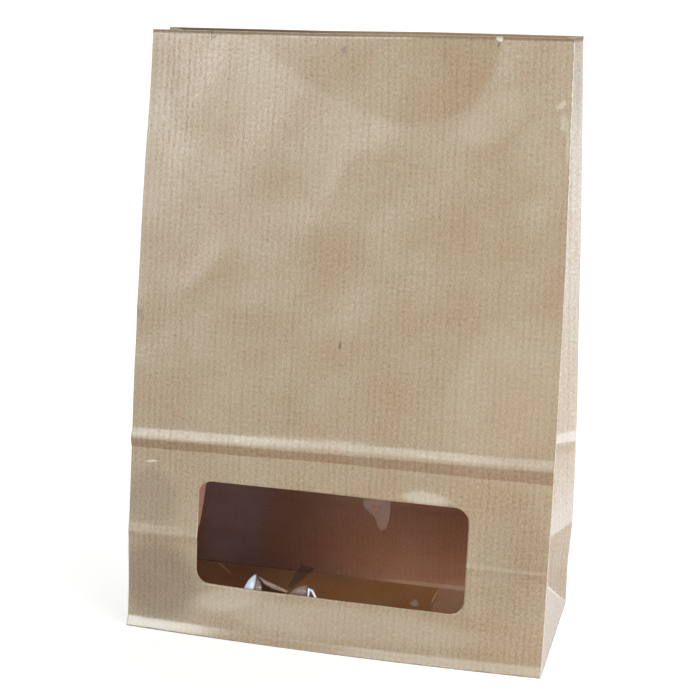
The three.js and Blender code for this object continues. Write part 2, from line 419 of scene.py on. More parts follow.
def cut_paper(obj):
    """Cuts the paper along its creases and divides it between them."""
    planes = crease_planes()
    for plane in sum(planes, []):
        cut(obj, plane)
    for axis in range(3):
        divide_between(obj, axis, planes[axis])
    for side in (-1, 1):
        def gusset_half(face):
            """The low part of both sides, on one side of their middle folds."""
            middle = centre(face)
            return abs(middle.x) > WIDTH / 2 - FOLD_ROUND and middle.z < LOW_CREASE and middle.y * side > 0
        low = LOW_CREASE - LOW_CREASE_FALL / 2
        cut(obj, ((0, side * HALF, 0), (0, low, side * HALF)), gusset_half)
    cut_flaps(obj)


def cut_flaps(obj):
    """Cuts the bottom along the slanted edges of its two flaps."""
    for end in (-1, 1):
        for side in (-1, 1):
            def flap_half(face):
                """The quarter of the bottom that this slanted edge crosses."""
                middle = centre(face)
                past = middle.y < FLAP_EDGE if end < 0 else middle.y > 0
                return face.normal.z < -0.9 and middle.x * side > 0 and past
            for step in (0, SHARP):
                cut(obj, ((side * (WIDTH / 2 - step), end * HALF, 0), (side, -end, 0)), flap_half)


def cut_window(obj):
    """Cuts the window out of the front by a bar with the window's rounded outline."""
    bpy.ops.mesh.select_all(action="DESELECT")
    bpy.ops.mesh.select_mode(type="VERT")
    middle = Vector((WINDOW_SHIFT, -HALF, (WINDOW_LOW + WINDOW_HIGH) / 2))
    bpy.ops.mesh.primitive_cube_add(size=1, location=middle)
    size = (WINDOW_WIDTH, CUTTER_DEEP, WINDOW_HIGH - WINDOW_LOW)
    bpy.ops.transform.resize(value=size, center_override=middle)
    corners = {v.index for v in bmesh.from_edit_mesh(obj.data).verts if v.select}
    pick(obj, "EDGE", lambda e: e.verts[0].index in corners and e.verts[0].co.xz == e.verts[1].co.xz)
    bpy.ops.mesh.bevel(offset=WINDOW_RADIUS, segments=8, profile=0.5, affect="EDGES")
    bpy.ops.mesh.select_linked()
    bpy.ops.transform.rotate(value=-WINDOW_TURN, orient_axis="Y", center_override=middle)
    bpy.ops.mesh.intersect(mode="SELECT_UNSELECT", separate_mode="NONE", solver="EXACT")

    def cut_away(face):
        """A face of the bar, or of the paper inside its outline."""
        return centre(face).y < 0 and all(in_window(v.co.x, v.co.z, WELD / 5) for v in face.verts)

    pick(obj, "FACE", cut_away)
    bpy.ops.mesh.delete(type="FACE")
    bpy.ops.mesh.select_all(action="SELECT")
    bpy.ops.mesh.remove_doubles(threshold=WELD)


def points_of(obj):
    """The mesh's points as an array."""
    flat = np.empty(len(obj.data.vertices) * 3)
    obj.data.vertices.foreach_get("co", flat)
    return flat.reshape(-1, 3)


def set_points(obj, points):
    """Moves the mesh's points to those of an array."""
    obj.data.vertices.foreach_set("co", points.ravel())
    obj.data.update()


def flat_place(point, normal):
    """Where a point of the box lies on the paper laid flat: across from the front's middle, and up."""
    if normal.z < -0.7:
        return point.x, -(point.y + HALF)
    if abs(normal.x) > 0.7:
        return math.copysign(WIDTH / 2 + point.y + HALF, normal.x), point.z
    if normal.y > 0.7:
        return WIDTH / 2 + DEPTH + (WIDTH / 2 - point.x), point.z
    return point.x, point.z


def lay_flat(obj):
    """Gives the mesh a UV map in metres of the paper laid flat."""
    uv = obj.data.uv_layers.new(name="paper").data
    for face in obj.data.polygons:
        for loop, index in zip(face.loop_indices, face.vertices):
            uv[loop].uv = flat_place(obj.data.vertices[index].co, face.normal)


def smooth(obj, degrees):
    """Shades the object smooth, apart from edges sharper than this."""
    clear_selection()
    obj.select_set(True)
    bpy.context.view_layer.objects.active = obj
    bpy.ops.object.shade_smooth_by_angle(angle=math.radians(degrees))


def thicken(obj, thickness, inner_material=0):
    """Gives the sheet its thickness, inwards, with the second material on its inner side."""
    solid = obj.modifiers.new("thickness", "SOLIDIFY")
    solid.thickness = thickness
    solid.offset = -1
    solid.material_offset = inner_material
    bpy.ops.object.modifier_apply(modifier=solid.name)


def make_bag():
    """The paper bag, set into its standing shape."""
    obj = make_paper()
    cut_paper(obj)
    cut_window(obj)
    leave_edit()
    lay_flat(obj)
    set_points(obj, stand(points_of(obj)))
    obj.data.materials.append(kraft_outside())
    obj.data.materials.append(kraft_inside())
    smooth(obj, PAPER_SMOOTH)
    thicken(obj, PAPER, inner_material=1)
    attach(obj, "root")
    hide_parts("paper_bag")
    return obj


# Soft waves of the film, as on the front panel.
FILM_WAVES = [
    ((-40, 50), (12, 16), 0.2, 0.35),
    ((18, 58), (9, 8), 0.5, 0.4),
    ((30, 36), (18, 6), -0.1, -0.3),
]
FILM_CELL = 2.0 * MM
FILM_SMOOTH = 12  # degrees
FILM_SAG = 0.4 * MM  # the sheet hangs this far behind the paper

# Where the film's lower edge has crumpled up behind the window, with painted highlights, painted light and
# painted shade on its facets, and the painted reflections on the film above and beside it.
# Finish, depth behind the film in mm, how far it leans back per mm upwards, and outline in mm.
FILM_FOLDS = [
    ("glint", 0.4, 0.3, [(-37.2, 22.6), (-35.6, 26), (-33.6, 28), (-32.5, 28.3), (-32.4, 25.4), (-33.2, 21)]),
    ("bright", 0.5, 0.1, [
        (-31.4, 28.6), (-28, 27), (-23.5, 25.8), (-17.6, 23.6), (-18.6, 23), (-24.4, 24), (-28.4, 25.6),
    ]),
    ("bright", 0.6, 0.2, [(-32.3, 25.5), (-31.3, 28), (-29.6, 24.6), (-29, 21.5), (-32.7, 21)]),
    ("shade", 0.8, 0.0, [(-31.2, 27.4), (-28.3, 25.6), (-24.4, 24), (-18, 22.8), (-19, 21.5), (-29, 21.5)]),
    ("shade_soft", 0.9, 0.0, [
        (-12.6, 35.2), (-15.4, 31), (-18.4, 24.6), (-16, 24.8), (-11.4, 29.6), (-7, 34.2),
    ]),
    ("bright", 0.7, 0.1, [(-17, 23), (-14.7, 25), (-12.1, 26.2), (-9.9, 26.5), (-9.7, 22), (-16.6, 21.5)]),
    ("glint", 0.4, 0.1, [
        (-9.3, 26), (-6.9, 25.2), (-5.3, 22.6), (-5.3, 21), (-6.1, 21), (-6.4, 22.7), (-7.6, 24.4),
        (-8.5, 24.8), (-8.5, 21), (-9.1, 21),
    ]),
    # painted reflections on the film: a pale patch with a darker painted hole, a small spot at the lower
    # right, a speck and a faint patch beside the crumple
    ("reflection", 0.1, 0.0, [
        (12.2, 67), (24, 67), (24.2, 62.6), (23.6, 58), (22.5, 54.2), (20.4, 54), (18.6, 56), (18, 59),
        (14.7, 61.2), (13, 62.8),
    ]),
    ("shade_thin", 0.05, 0.0, [(16, 63.4), (20.3, 64), (20.8, 62.4), (19, 60.8), (16.8, 61.8)]),
    ("reflection", 0.2, 0.1, [(34.2, 24.4), (36.8, 26.8), (38.2, 24), (36, 23.4)]),
    ("reflection", 0.1, 0.0, [(0.3, 54.6), (1.2, 55.2), (1.0, 54.4)]),
    ("reflection_thin", 0.1, 0.0, [(43, 22), (45.5, 29.5), (48.6, 36.5), (59, 38), (59, 22)]),
]


def film_place(flat, depth):
    """Where points of the flat front lie as the bag stands, this far behind the paper's outer side."""
    standing = stand(flat)
    standing[:, 1] += depth / math.cos(FRONT_ANGLE)
    return standing


def make_film_fold(finish, depth, lean, outline):
    """One facet, of crumpled film for the folds and of painted reflection for the patches: a flat round of as
    many corners, moved to its outline.
    """
    clear_selection()
    bpy.ops.mesh.primitive_circle_add(vertices=len(outline), radius=MM, fill_type="NGON")
    obj = bpy.context.active_object
    flat = np.array([(x * MM, -HALF, v * MM) for x, v in outline])
    behind = PAPER + FILM_GAP + FILM_THICK + (depth + lean * (flat[:, 2] / MM - outline[0][1])) * MM
    set_points(obj, film_place(flat, np.maximum(behind, PAPER + 2 * FILM_THICK)))
    lay_flat(obj)
    obj.data.materials.append(film_finish(finish))
    return obj


def make_film():
    """The clear sheet, with its crumpled folds and its painted reflections joined to it as facets just
    behind.
    """
    wide = WINDOW_WIDTH + 2 * FILM_MARGIN
    tall = WINDOW_HIGH - WINDOW_LOW + 2 * FILM_MARGIN
    low = WINDOW_LOW - FILM_MARGIN
    clear_selection()
    middle = (WINDOW_SHIFT, -HALF, low + tall / 2)
    bpy.ops.mesh.primitive_plane_add(size=1, location=middle, rotation=(math.pi / 2, 0, 0))
    obj = bpy.context.active_object
    obj.name = obj.data.name = "window_film_sheet"
    obj.scale = (wide, tall, 1)
    bpy.ops.object.transform_apply(location=True, rotation=True, scale=True)
    edit(obj)
    for axis, length in ((0, wide), (2, tall)):
        pick(obj, "EDGE", lambda e: abs((e.verts[1].co - e.verts[0].co)[axis]) > length / 2)
        bpy.ops.mesh.subdivide(number_cuts=round(length / FILM_CELL))
    leave_edit()
    lay_flat(obj)
    flat = points_of(obj)
    x, _, v = flat.T
    set_points(obj, film_place(flat, PAPER + FILM_GAP + FILM_SAG + wave_relief(FILM_WAVES, x, v)))
    obj.data.materials.append(clear_film())
    folds = [make_film_fold(*fold) for fold in FILM_FOLDS]
    clear_selection()
    for fold in folds:
        fold.select_set(True)
    obj.select_set(True)
    bpy.context.view_layer.objects.active = obj
    bpy.ops.object.join()
    smooth(obj, FILM_SMOOTH)
    thicken(obj, FILM_THICK)
    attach(obj, "root")
    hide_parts("window_film")
    return obj


# ---- Materials ----

def feed(tree, node, inputs):
    """Gives each input of a node its value, or the output that feeds it."""
    for name, value in inputs.items():
        if isinstance(value, bpy.types.NodeSocket):
            tree.links.new(value, node.inputs[name])
        else:
            node.inputs[name].default_value = value


def shader(tree, kind, settings=None, inputs=None):
    """A new shader node with these settings and inputs."""
    node = tree.nodes.new("ShaderNode" + kind)
    for name, value in (settings or {}).items():
        setattr(node, name, value)
    feed(tree, node, inputs or {})
    return node


def sums(tree, operation, *values, clamp=False):
    """The result of one Math node."""
    node = shader(tree, "Math", {"operation": operation, "use_clamp": clamp}, dict(enumerate(values)))
    return node.outputs[0]


def remap(tree, value, low, high, to_low=0.0, to_high=1.0):
    """A value brought from one range to another, held inside it, with soft ends."""
    inputs = {"Value": value, 1: low, 2: high, 3: to_low, 4: to_high}
    return shader(tree, "MapRange", {"interpolation_type": "SMOOTHSTEP"}, inputs).outputs[0]


def noise(tree, place, scale, detail=2.0, rough=0.5):
    """Noise around 0.5, most of it between 0.3 and 0.7. The scale is in lumps a metre."""
    inputs = {"Vector": place, "Scale": scale, "Detail": detail, "Roughness": rough}
    return shader(tree, "TexNoise", inputs=inputs).outputs[0]


def stretch(tree, place, scale, shift=(0, 0, 0)):
    """A place scaled and shifted, so that a noise on it is stretched or differs."""
    return shader(tree, "Mapping", inputs={"Vector": place, "Scale": scale, "Location": shift}).outputs[0]


def split(tree, place):
    """The X, Y and Z of a place."""
    return shader(tree, "SeparateXYZ", inputs={0: place}).outputs


def paper_place(tree):
    """The place on the sheet laid flat, in metres, from the piece's own UV map."""
    return shader(tree, "UVMap", {"uv_map": "paper"}).outputs[0]


def blend_colour(tree, share, first, second, mode="MIX"):
    """The first colour blended with the second, by this share."""
    settings = {"data_type": "RGBA", "blend_type": mode}
    return shader(tree, "Mix", settings, {0: share, 6: first, 7: second}).outputs[2]


def new_group(name, sockets):
    """A shader node group. Sockets: name, direction, kind and default."""
    group = bpy.data.node_groups.new(name, "ShaderNodeTree")
    for label, direction, kind, default in sockets:
        socket = group.interface.new_socket(label, in_out=direction, socket_type="NodeSocket" + kind)
        if default is not None:
            socket.default_value = default
    return group, group.nodes.new("NodeGroupInput").outputs, group.nodes.new("NodeGroupOutput").inputs


def place_group(tree, group, place):
    """The outputs of a group placed in a material, fed with the place on the paper."""
    return shader(tree, "Group", {"node_tree": group}, {"Flat": place}).outputs


def new_material(name):
    """A material with an empty node tree."""
    material = bpy.data.materials.new(name)
    material.use_nodes = True
    material.node_tree.nodes.clear()
    return material


def surface_of(tree, inputs):
    """Adds a Principled shader with these inputs, as the material's surface."""
    surface = shader(tree, "BsdfPrincipled", inputs=inputs)
    shader(tree, "OutputMaterial", inputs={"Surface": surface.outputs[0]})
    return surface.inputs


RIB_PITCH = 2.57 * MM
RIB_DRIFT = 0.6  # how far a rib strays, in pitches
WEAR_AND_HIGHLIGHT_HALF = 0.5 * MM  # half the width of a fold's worn line, partly a painted highlight


def make_rib_group():
    """Soft dark ribs along the paper, uneven in place, width and strength, and broken by the grain."""
    group, given, out = new_group("paper_ribs", [
        ("Flat", "INPUT", "Vector", None),
        ("Ribs", "OUTPUT", "Float", None),
    ])
    drift = sums(group, "MULTIPLY", noise(group, given["Flat"], 60.0), RIB_DRIFT)
    across = sums(group, "ADD", sums(group, "DIVIDE", split(group, given["Flat"])["X"], RIB_PITCH), drift)
    rib = remap(group, sums(group, "SINE", sums(group, "MULTIPLY", across, 2 * math.pi)), -1.0, 1.0)
    number = sums(group, "FLOOR", across)
    chance = shader(group, "TexWhiteNoise", {"noise_dimensions": "1D"}, {"W": number}).outputs["Value"]
    grain = noise(group, stretch(group, given["Flat"], (600, 160, 1)), 1.0, 3.0, 0.7)
    broken = remap(group, grain, 0.34, 0.6, 0.3, 1.0)
    strength = sums(group, "MULTIPLY", broken, sums(group, "MULTIPLY_ADD", chance, 0.5, 0.5))
    group.links.new(sums(group, "MULTIPLY", rib, strength), out["Ribs"])
    return group


def make_pulp_group():
    """Pulp: grains under a millimetre, blotches of a few and clouds of many, all around 0.5."""
    group, given, out = new_group("paper_pulp", [
        ("Flat", "INPUT", "Vector", None),
        ("Grain", "OUTPUT", "Float", None),
        ("Blotches", "OUTPUT", "Float", None),
        ("Clouds", "OUTPUT", "Float", None),
        ("Tint", "OUTPUT", "Float", None),
    ])
    flat = given["Flat"]
    group.links.new(noise(group, stretch(group, flat, (1700, 850, 1)), 1.0, 3.0, 0.65), out["Grain"])
    group.links.new(noise(group, flat, 640.0, 3.0, 0.65), out["Blotches"])
    group.links.new(noise(group, flat, 34.0, 4.0, 0.6), out["Clouds"])
    elsewhere = stretch(group, flat, (1, 1, 1), (3, 7, 1))
    group.links.new(noise(group, elsewhere, 480.0, 4.0, 0.65), out["Tint"])
    return group


def make_fold_group():
    """Where the paper is folded or cut, a thin uneven paler line: worn paper, and partly a painted highlight
    of the folds catching the light.
    """
    group, given, out = new_group("paper_fold_wear_and_highlight", [
        ("Flat", "INPUT", "Vector", None),
        ("WearAndHighlight", "OUTPUT", "Float", None),
    ])
    flat = split(group, given["Flat"])
    across = sums(group, "ABSOLUTE", flat["X"])
    from_mouth = sums(group, "ABSOLUTE", sums(group, "SUBTRACT", flat["Y"], PANEL))
    nearest = sums(group, "MINIMUM", sums(group, "ABSOLUTE", flat["Y"]), from_mouth)
    for fold in (WIDTH / 2, WIDTH / 2 + DEPTH, WIDTH * 1.5 + DEPTH):
        away = sums(group, "ABSOLUTE", sums(group, "SUBTRACT", across, fold))
        nearest = sums(group, "MINIMUM", nearest, away)
    uneven = sums(group, "MULTIPLY_ADD", noise(group, given["Flat"], 260.0, 3.0), 1.6, 0.2)
    line = sums(group, "SUBTRACT", 1.0, sums(group, "DIVIDE", nearest, WEAR_AND_HIGHLIGHT_HALF), clamp=True)
    group.links.new(sums(group, "MULTIPLY", line, uneven, clamp=True), out["WearAndHighlight"])
    return group


def make_crease_group():
    """Painted light along the creases: painted shade below them, and painted highlights above them, along the
    hem and on the sides.

    The foot output is a painted shadow along the bottom fold, and the side output is 1 on the two sides of
    the bag.
    """
    group, given, out = new_group("paper_crease_painted_light", [
        ("Flat", "INPUT", "Vector", None),
        ("PaintedShade", "OUTPUT", "Float", None),
        ("PaintedHighlight", "OUTPUT", "Float", None),
        ("FootPaintedShadow", "OUTPUT", "Float", None),
        ("Side", "OUTPUT", "Float", None),
    ])

    def band(height, low, high, soft_low, soft_high):
        """1 between two heights, each with its own softness."""
        rising = remap(group, height, low - soft_low, low + soft_low)
        falling = remap(group, height, high - soft_high, high + soft_high, 1.0, 0.0)
        return sums(group, "MULTIPLY", rising, falling)

    flat = split(group, given["Flat"])
    # Place across the bag: round the side and along the back it counts down again.
    from_back = sums(group, "SUBTRACT", WIDTH + DEPTH, flat["X"])
    x = sums(group, "MINIMUM", sums(group, "MINIMUM", flat["X"], from_back), WIDTH / 2)
    x = sums(group, "MAXIMUM", x, -WIDTH / 2)
    out_from_middle = sums(group, "ABSOLUTE", flat["X"])
    side = band(out_from_middle, WIDTH / 2, WIDTH / 2 + DEPTH, FOLD_ROUND, FOLD_ROUND)
    uneven = sums(group, "MULTIPLY_ADD", noise(group, given["Flat"], 160.0, 3.0), 0.8 * MM, -0.4 * MM)
    up = sums(group, "ADD", flat["Y"], uneven)

    # The two flanks of the main crease: painted shade below, painted highlight above.
    crease = sums(group, "SUBTRACT", up, sums(group, "MULTIPLY_ADD", x, CREASE_SLOPE, CREASE))
    to_right = sums(group, "MAXIMUM", x, 0.0)
    spread = sums(group, "MULTIPLY_ADD", to_right, RIDGE_SPREAD / (WIDTH / 2), 1.0)
    below = band(sums(group, "DIVIDE", crease, spread), -RIDGE_HALF, -0.2 * MM, 0.25 * MM, 0.5 * MM)
    above = band(crease, 0.3 * MM, RIDGE_HALF, 0.5 * MM, 0.6 * MM)

    # The weak crease, and the part of the sides between it and the main one.
    past_fold = sums(group, "SUBTRACT", out_from_middle, WIDTH / 2)
    round_side = sums(group, "MAXIMUM", sums(group, "DIVIDE", past_fold, DEPTH), 0.0)
    fall = sums(group, "MULTIPLY", round_side, LOW_CREASE_FALL)
    low_crease = sums(group, "SUBTRACT", sums(group, "ADD", up, fall), LOW_CREASE)
    low_above = band(low_crease, -0.1 * MM, 1.2 * MM, 0.5 * MM, 0.7 * MM)
    low_below = band(low_crease, -LOW_RIDGE_HALF, -0.5 * MM, 1.4 * MM, 0.6 * MM)
    # Painted highlight on the sides, fading upwards from the weak crease.
    painted_side_highlight = remap(group, low_crease, 0.0, 30 * MM, 1.0, 0.0)
    painted_side_highlight = sums(group, "MULTIPLY", painted_side_highlight, remap(group, low_crease, -0.3 * MM, 0.3 * MM))

    # Painted highlight along the hem, at its left and from its middle to the right.
    hem_left = remap(group, x, -78 * MM, -36 * MM, 1.7, 0.0)
    hem_share = sums(group, "ADD", hem_left, remap(group, x, -14 * MM, 20 * MM, 0.0, 0.7))
    hem = sums(group, "MULTIPLY", band(up, 0.7 * MM, HEM, 0.2 * MM, 0.7 * MM), hem_share)

    # The triangle at the foot of each side, which takes a painted highlight.
    from_side_middle = sums(group, "ABSOLUTE", sums(group, "SUBTRACT", out_from_middle, WIDTH / 2 + HALF))
    inside_triangle = sums(group, "SUBTRACT", HALF, sums(group, "ADD", from_side_middle, flat["Y"]))
    triangle = remap(group, inside_triangle, 0.0, 0.6 * MM)

    painted_crease_shade = sums(group, "MULTIPLY_ADD", low_below, 0.35, below, clamp=True)
    painted_crease_shade = sums(group, "MULTIPLY", painted_crease_shade, sums(group, "MULTIPLY_ADD", side, -0.88, 1.0))
    on_panel = sums(group, "MULTIPLY_ADD", above, 0.25, sums(group, "MULTIPLY_ADD", low_above, 0.3, hem))
    on_side = sums(group, "MULTIPLY_ADD", triangle, 0.4, sums(group, "MULTIPLY", above, 0.75))
    on_side = sums(group, "MULTIPLY_ADD", painted_side_highlight, 0.6, on_side)
    painted_crease_highlight = shader(group, "Mix", {"data_type": "FLOAT"}, {0: side, 2: on_panel, 3: on_side})
    group.links.new(remap(group, up, 0.3 * MM, 0.8 * MM, 1.0, 0.0), out["FootPaintedShadow"])
    group.links.new(side, out["Side"])
    group.links.new(painted_crease_shade, out["PaintedShade"])
    group.links.new(painted_crease_highlight.outputs[0], out["PaintedHighlight"])
    return group


# Marks, most of them painted highlights and painted shade, with a few nicks and rubs: place on the flat
# paper and half sizes in mm, turn in degrees, and strength, which is pale above 0 and dark below. The front
# lies between -90 and 90, the sides beyond it, the back from 172 on, and the bottom below 0.
MARKS_AND_PAINTED_LIGHT = [
    # small nicks and rubs; the pair at the mouth's right end is a nick with a painted highlight where the
    # background shows through, and painted shade in the crack below it
    ((-0.4, 128.6), (0.55, 2.0), -8, -1.3),
    ((-63, 252), (0.5, 2.6), 0, -0.9),
    ((-61.6, 251.4), (1.5, 0.5), 35, -0.7),
    ((-80.5, 73.2), (3.2, 0.7), 8, 0.5),
    ((59.8, 253.4), (1.7, 1.5), 0, 1.2),
    ((59.7, 250.9), (0.55, 1.5), -10, -0.75),
    ((-4, 247.5), (1.6, 2.2), 0, -0.4),
    # painted highlights: wrinkles beside the right fold catching the light, and the right fold's bright edge
    ((85.6, 228.4), (3, 1.6), 35, 0.26),
    ((87, 221.5), (2.2, 4.6), 5, 0.22),
    ((88.6, 212), (0.9, 9), 2, 0.2),
    ((90.1, 226), (0.65, 62), 0, 1.4),
    # painted light and shade: soft pale and dark patches where the paper's waves catch or lose the light,
    # with the pale crescent of the bump above the window
    ((38.5, 69.0), (12, 3.6), -2, 0.28),
    ((-45, 17), (19, 6), 12, 0.16),
    ((68, 113), (27, 38), -20, 0.08),
    ((58, 222), (20, 11), 35, 0.1),
    ((-88.5, 136), (2.2, 4.6), 30, -0.25),
    ((-76, 22), (22, 24), 30, -0.4),
    ((-80, 57), (16, 16), 0, -0.27),
    ((76, 46), (18, 34), 0, -0.12),
    ((5, 13), (78, 9), 0, 0.12),
    # painted highlights along the slanted folds of the sides' triangles
    ((151.5, 20), (40, 0.8), -44, 0.5),
    ((110.5, 20), (40, 0.8), 44, 0.5),
    ((-151.5, 20), (40, 0.8), 44, 0.5),
    ((-110.5, 20), (40, 0.8), -44, 0.5),
    # painted highlights: lines on the bottom, and along the back's bottom fold
    ((31.5, -71), (0.6, 11), -1, 0.25),
    ((-72, -76), (11, 0.6), 48, 0.25),
    ((226, 0.9), (44, 1.8), 0, 0.5),
]
MARK_STRAY = 1.2 * MM  # a mark's outline strays by up to half of this


def make_mark_group():
    """Pale and dark marks: a few nicks and rubs, and painted highlights and painted shade where waves,
    wrinkles, folds and flaps catch or lose the light.
    """
    group, given, out = new_group("paper_marks_and_painted_light", [
        ("Flat", "INPUT", "Vector", None),
        ("Pale", "OUTPUT", "Float", None),
        ("Dark", "OUTPUT", "Float", None),
    ])
    lumps = shader(group, "TexNoise", inputs={"Vector": given["Flat"], "Scale": 500.0}).outputs["Color"]
    shift = shader(group, "VectorMath", {"operation": "SCALE"}, {0: lumps, "Scale": MARK_STRAY}).outputs[0]
    place = shader(group, "VectorMath", {"operation": "ADD"}, {0: given["Flat"], 1: shift}).outputs[0]
    mean = MARK_STRAY / 2
    totals = {"Pale": 0.0, "Dark": 0.0}
    for (x, v), (wide, tall), turn, strength in MARKS_AND_PAINTED_LIGHT:
        unit = shader(group, "Mapping", {"vector_type": "TEXTURE"}, {
            "Vector": place,
            "Location": (x * MM + mean, v * MM + mean, mean),
            "Rotation": (0, 0, math.radians(turn)),
            "Scale": (wide * MM, tall * MM, 1),
        }).outputs[0]
        spot = shader(group, "TexGradient", {"gradient_type": "SPHERICAL"}, {"Vector": unit}).outputs["Fac"]
        side = "Pale" if strength > 0 else "Dark"
        solid = remap(group, spot, 0.0, 0.5, 0.0, abs(strength))
        totals[side] = sums(group, "ADD", totals[side], solid, clamp=True)
    for side, total in totals.items():
        group.links.new(total, out[side])
    return group


RIBS = make_rib_group()
PULP = make_pulp_group()
FOLD_WEAR_AND_HIGHLIGHT = make_fold_group()
CREASE_PAINTED_LIGHT = make_crease_group()
MARK_AND_PAINTED_LIGHT_GROUP = make_mark_group()


def pulp_colour(tree, pulp, ribs, brown, grey, rib_share, grain_share):
    """Brown mixed with grey, lighter and darker with the pulp, and darker in the ribs."""
    colour = blend_colour(tree, remap(tree, pulp["Tint"], 0.36, 0.68, 0.0, 0.4), brown, grey)
    redder, greener = (1.03, 0.985, 0.93, 1), (0.985, 1.005, 1.0, 1)
    hue = blend_colour(tree, remap(tree, pulp["Clouds"], 0.35, 0.65), redder, greener)
    colour = blend_colour(tree, 1.0, colour, hue, "MULTIPLY")
    shade = sums(tree, "MULTIPLY_ADD", pulp["Blotches"], 0.5 * grain_share, 0.88 - 0.25 * grain_share)
    middle, swing = 0.21, 0.31 * grain_share
    grain = remap(tree, pulp["Grain"], 0.3, 0.7, middle - swing, middle + swing)
    shade = sums(tree, "ADD", shade, grain)
    shade = sums(tree, "ADD", shade, remap(tree, pulp["Clouds"], 0.3, 0.7, -0.06, 0.16))
    shade = sums(tree, "SUBTRACT", shade, sums(tree, "MULTIPLY", ribs, rib_share))
    # The darker the pulp, the redder.
    channels = {0: sums(tree, "POWER", shade, 0.75), 1: shade, 2: sums(tree, "POWER", shade, 1.5)}
    tint = shader(tree, "CombineColor", inputs=channels).outputs[0]
    return blend_colour(tree, 1.0, colour, tint, "MULTIPLY")


# What the paper's colour is multiplied by: a painted shadow at the foot, painted shade below the creases, a
# painted sheen on the sides and the dark marks; and how strong the painted highlights and the worn, partly
# painted-highlight folds are.
FOOT_PAINTED_SHADOW = (0.4, 0.36, 0.32, 1)
CREASE_PAINTED_SHADE = (0.72, 0.6, 0.48, 1)
SIDE_PAINTED_SHEEN = (1.05, 1.14, 1.42, 1)
DARK_MARK_SHADE = (0.24, 0.16, 0.08, 1)
PAINTED_HIGHLIGHT_SHARE = 0.38
WEAR_AND_HIGHLIGHT_SHARE = 0.8


def kraft(name, brown, grey, pale, rough, ior, rib_share, crease_light_share, grain_share, last_tint=None):
    """Ribbed kraft paper, with painted light and shade at its creases, foot and sides, folds worn paler and
    partly painted as highlights, and marks, most of them painted light and shade.
    """
    material = new_material(name)
    tree = material.node_tree
    flat = paper_place(tree)
    ribs = place_group(tree, RIBS, flat)["Ribs"]
    pulp = place_group(tree, PULP, flat)
    wear_and_highlight = place_group(tree, FOLD_WEAR_AND_HIGHLIGHT, flat)["WearAndHighlight"]
    crease_light = place_group(tree, CREASE_PAINTED_LIGHT, flat)
    marks = place_group(tree, MARK_AND_PAINTED_LIGHT_GROUP, flat)
    painted_crease_shade = sums(tree, "MULTIPLY", crease_light["PaintedShade"], crease_light_share)
    painted_crease_highlight = sums(tree, "MULTIPLY", crease_light["PaintedHighlight"], PAINTED_HIGHLIGHT_SHARE * crease_light_share)

    colour = pulp_colour(tree, pulp, ribs, brown, grey, rib_share, grain_share)
    # Painted shadow along the foot, painted shade below the creases, painted highlights above them, a painted
    # sheen on the sides, and the folds' worn line with its painted highlight.
    colour = blend_colour(tree, crease_light["FootPaintedShadow"], colour, FOOT_PAINTED_SHADOW, "MULTIPLY")
    colour = blend_colour(tree, painted_crease_shade, colour, CREASE_PAINTED_SHADE, "MULTIPLY")
    colour = blend_colour(tree, painted_crease_highlight, colour, pale)
    colour = blend_colour(tree, crease_light["Side"], colour, SIDE_PAINTED_SHEEN, "MULTIPLY")
    colour = blend_colour(tree, sums(tree, "MULTIPLY", wear_and_highlight, WEAR_AND_HIGHLIGHT_SHARE), colour, pale)
    colour = blend_colour(tree, marks["Pale"], colour, pale)
    colour = blend_colour(tree, marks["Dark"], colour, DARK_MARK_SHADE, "MULTIPLY")
    if last_tint:
        colour = last_tint(tree, flat, colour)

    fibres = sums(tree, "MULTIPLY_ADD", pulp["Grain"], 0.5, pulp["Blotches"])
    height = sums(tree, "MULTIPLY_ADD", ribs, -0.6, fibres)
    bump = shader(tree, "Bump", inputs={"Strength": 0.5, "Distance": 0.05 * MM, "Height": height})
    roughness = sums(tree, "MULTIPLY_ADD", pulp["Tint"], -0.3, rough + 0.2)
    roughness = sums(tree, "MULTIPLY_ADD", pulp["Grain"], -0.2, roughness)
    roughness = sums(tree, "MULTIPLY_ADD", ribs, 0.08, roughness)
    roughness = sums(tree, "ADD", roughness, sums(tree, "MULTIPLY", painted_crease_shade, 0.35))
    surface_of(tree, {"Base Color": colour, "Roughness": roughness, "IOR": ior, "Normal": bump.outputs[0]})
    return material


def kraft_outside():
    """The glazed outer side."""
    return kraft(
        "ribbed_kraft_outside",
        brown=(0.243, 0.165, 0.083, 1), grey=(0.252, 0.193, 0.119, 1), pale=(0.64, 0.6, 0.52, 1),
        rough=0.42, ior=1.95, rib_share=0.285, crease_light_share=1.0, grain_share=1.0,
    )


def kraft_inside():
    """The unglazed inner side: redder, with fainter ribs and fainter painted crease light; its bright red
    colour is partly the paper's and partly a painted stand-in for light bounced inside the bag.
    """
    return kraft(
        "ribbed_kraft_inside",
        brown=(0.46, 0.2, 0.105, 1), grey=(0.44, 0.21, 0.12, 1), pale=(0.75, 0.52, 0.38, 1),
        rough=0.7, ior=1.35, rib_share=0.08, crease_light_share=0.3, grain_share=0.45, last_tint=painted_inside_light,
    )


def painted_inside_light(tree, flat, colour):
    """Painted light and shade inside the bag: brighter on the bottom, darker at the left of the back and
    paler at the mouth.
    """
    place = split(tree, flat)
    bottom = remap(tree, place["Y"], -1.5 * MM, -0.5 * MM, 1.0, 0.0)
    colour = blend_colour(tree, bottom, colour, (2.35, 2.75, 2.05, 1), "MULTIPLY")
    left = remap(tree, place["X"], WIDTH + DEPTH - 20 * MM, WIDTH + DEPTH + 50 * MM)
    colour = blend_colour(tree, left, colour, (0.42, 0.4, 0.42, 1), "MULTIPLY")
    mouth = remap(tree, place["Y"], PANEL - 30 * MM, PANEL - 3 * MM)
    return blend_colour(tree, mouth, colour, (0.92, 1.18, 1.25, 1), "MULTIPLY")


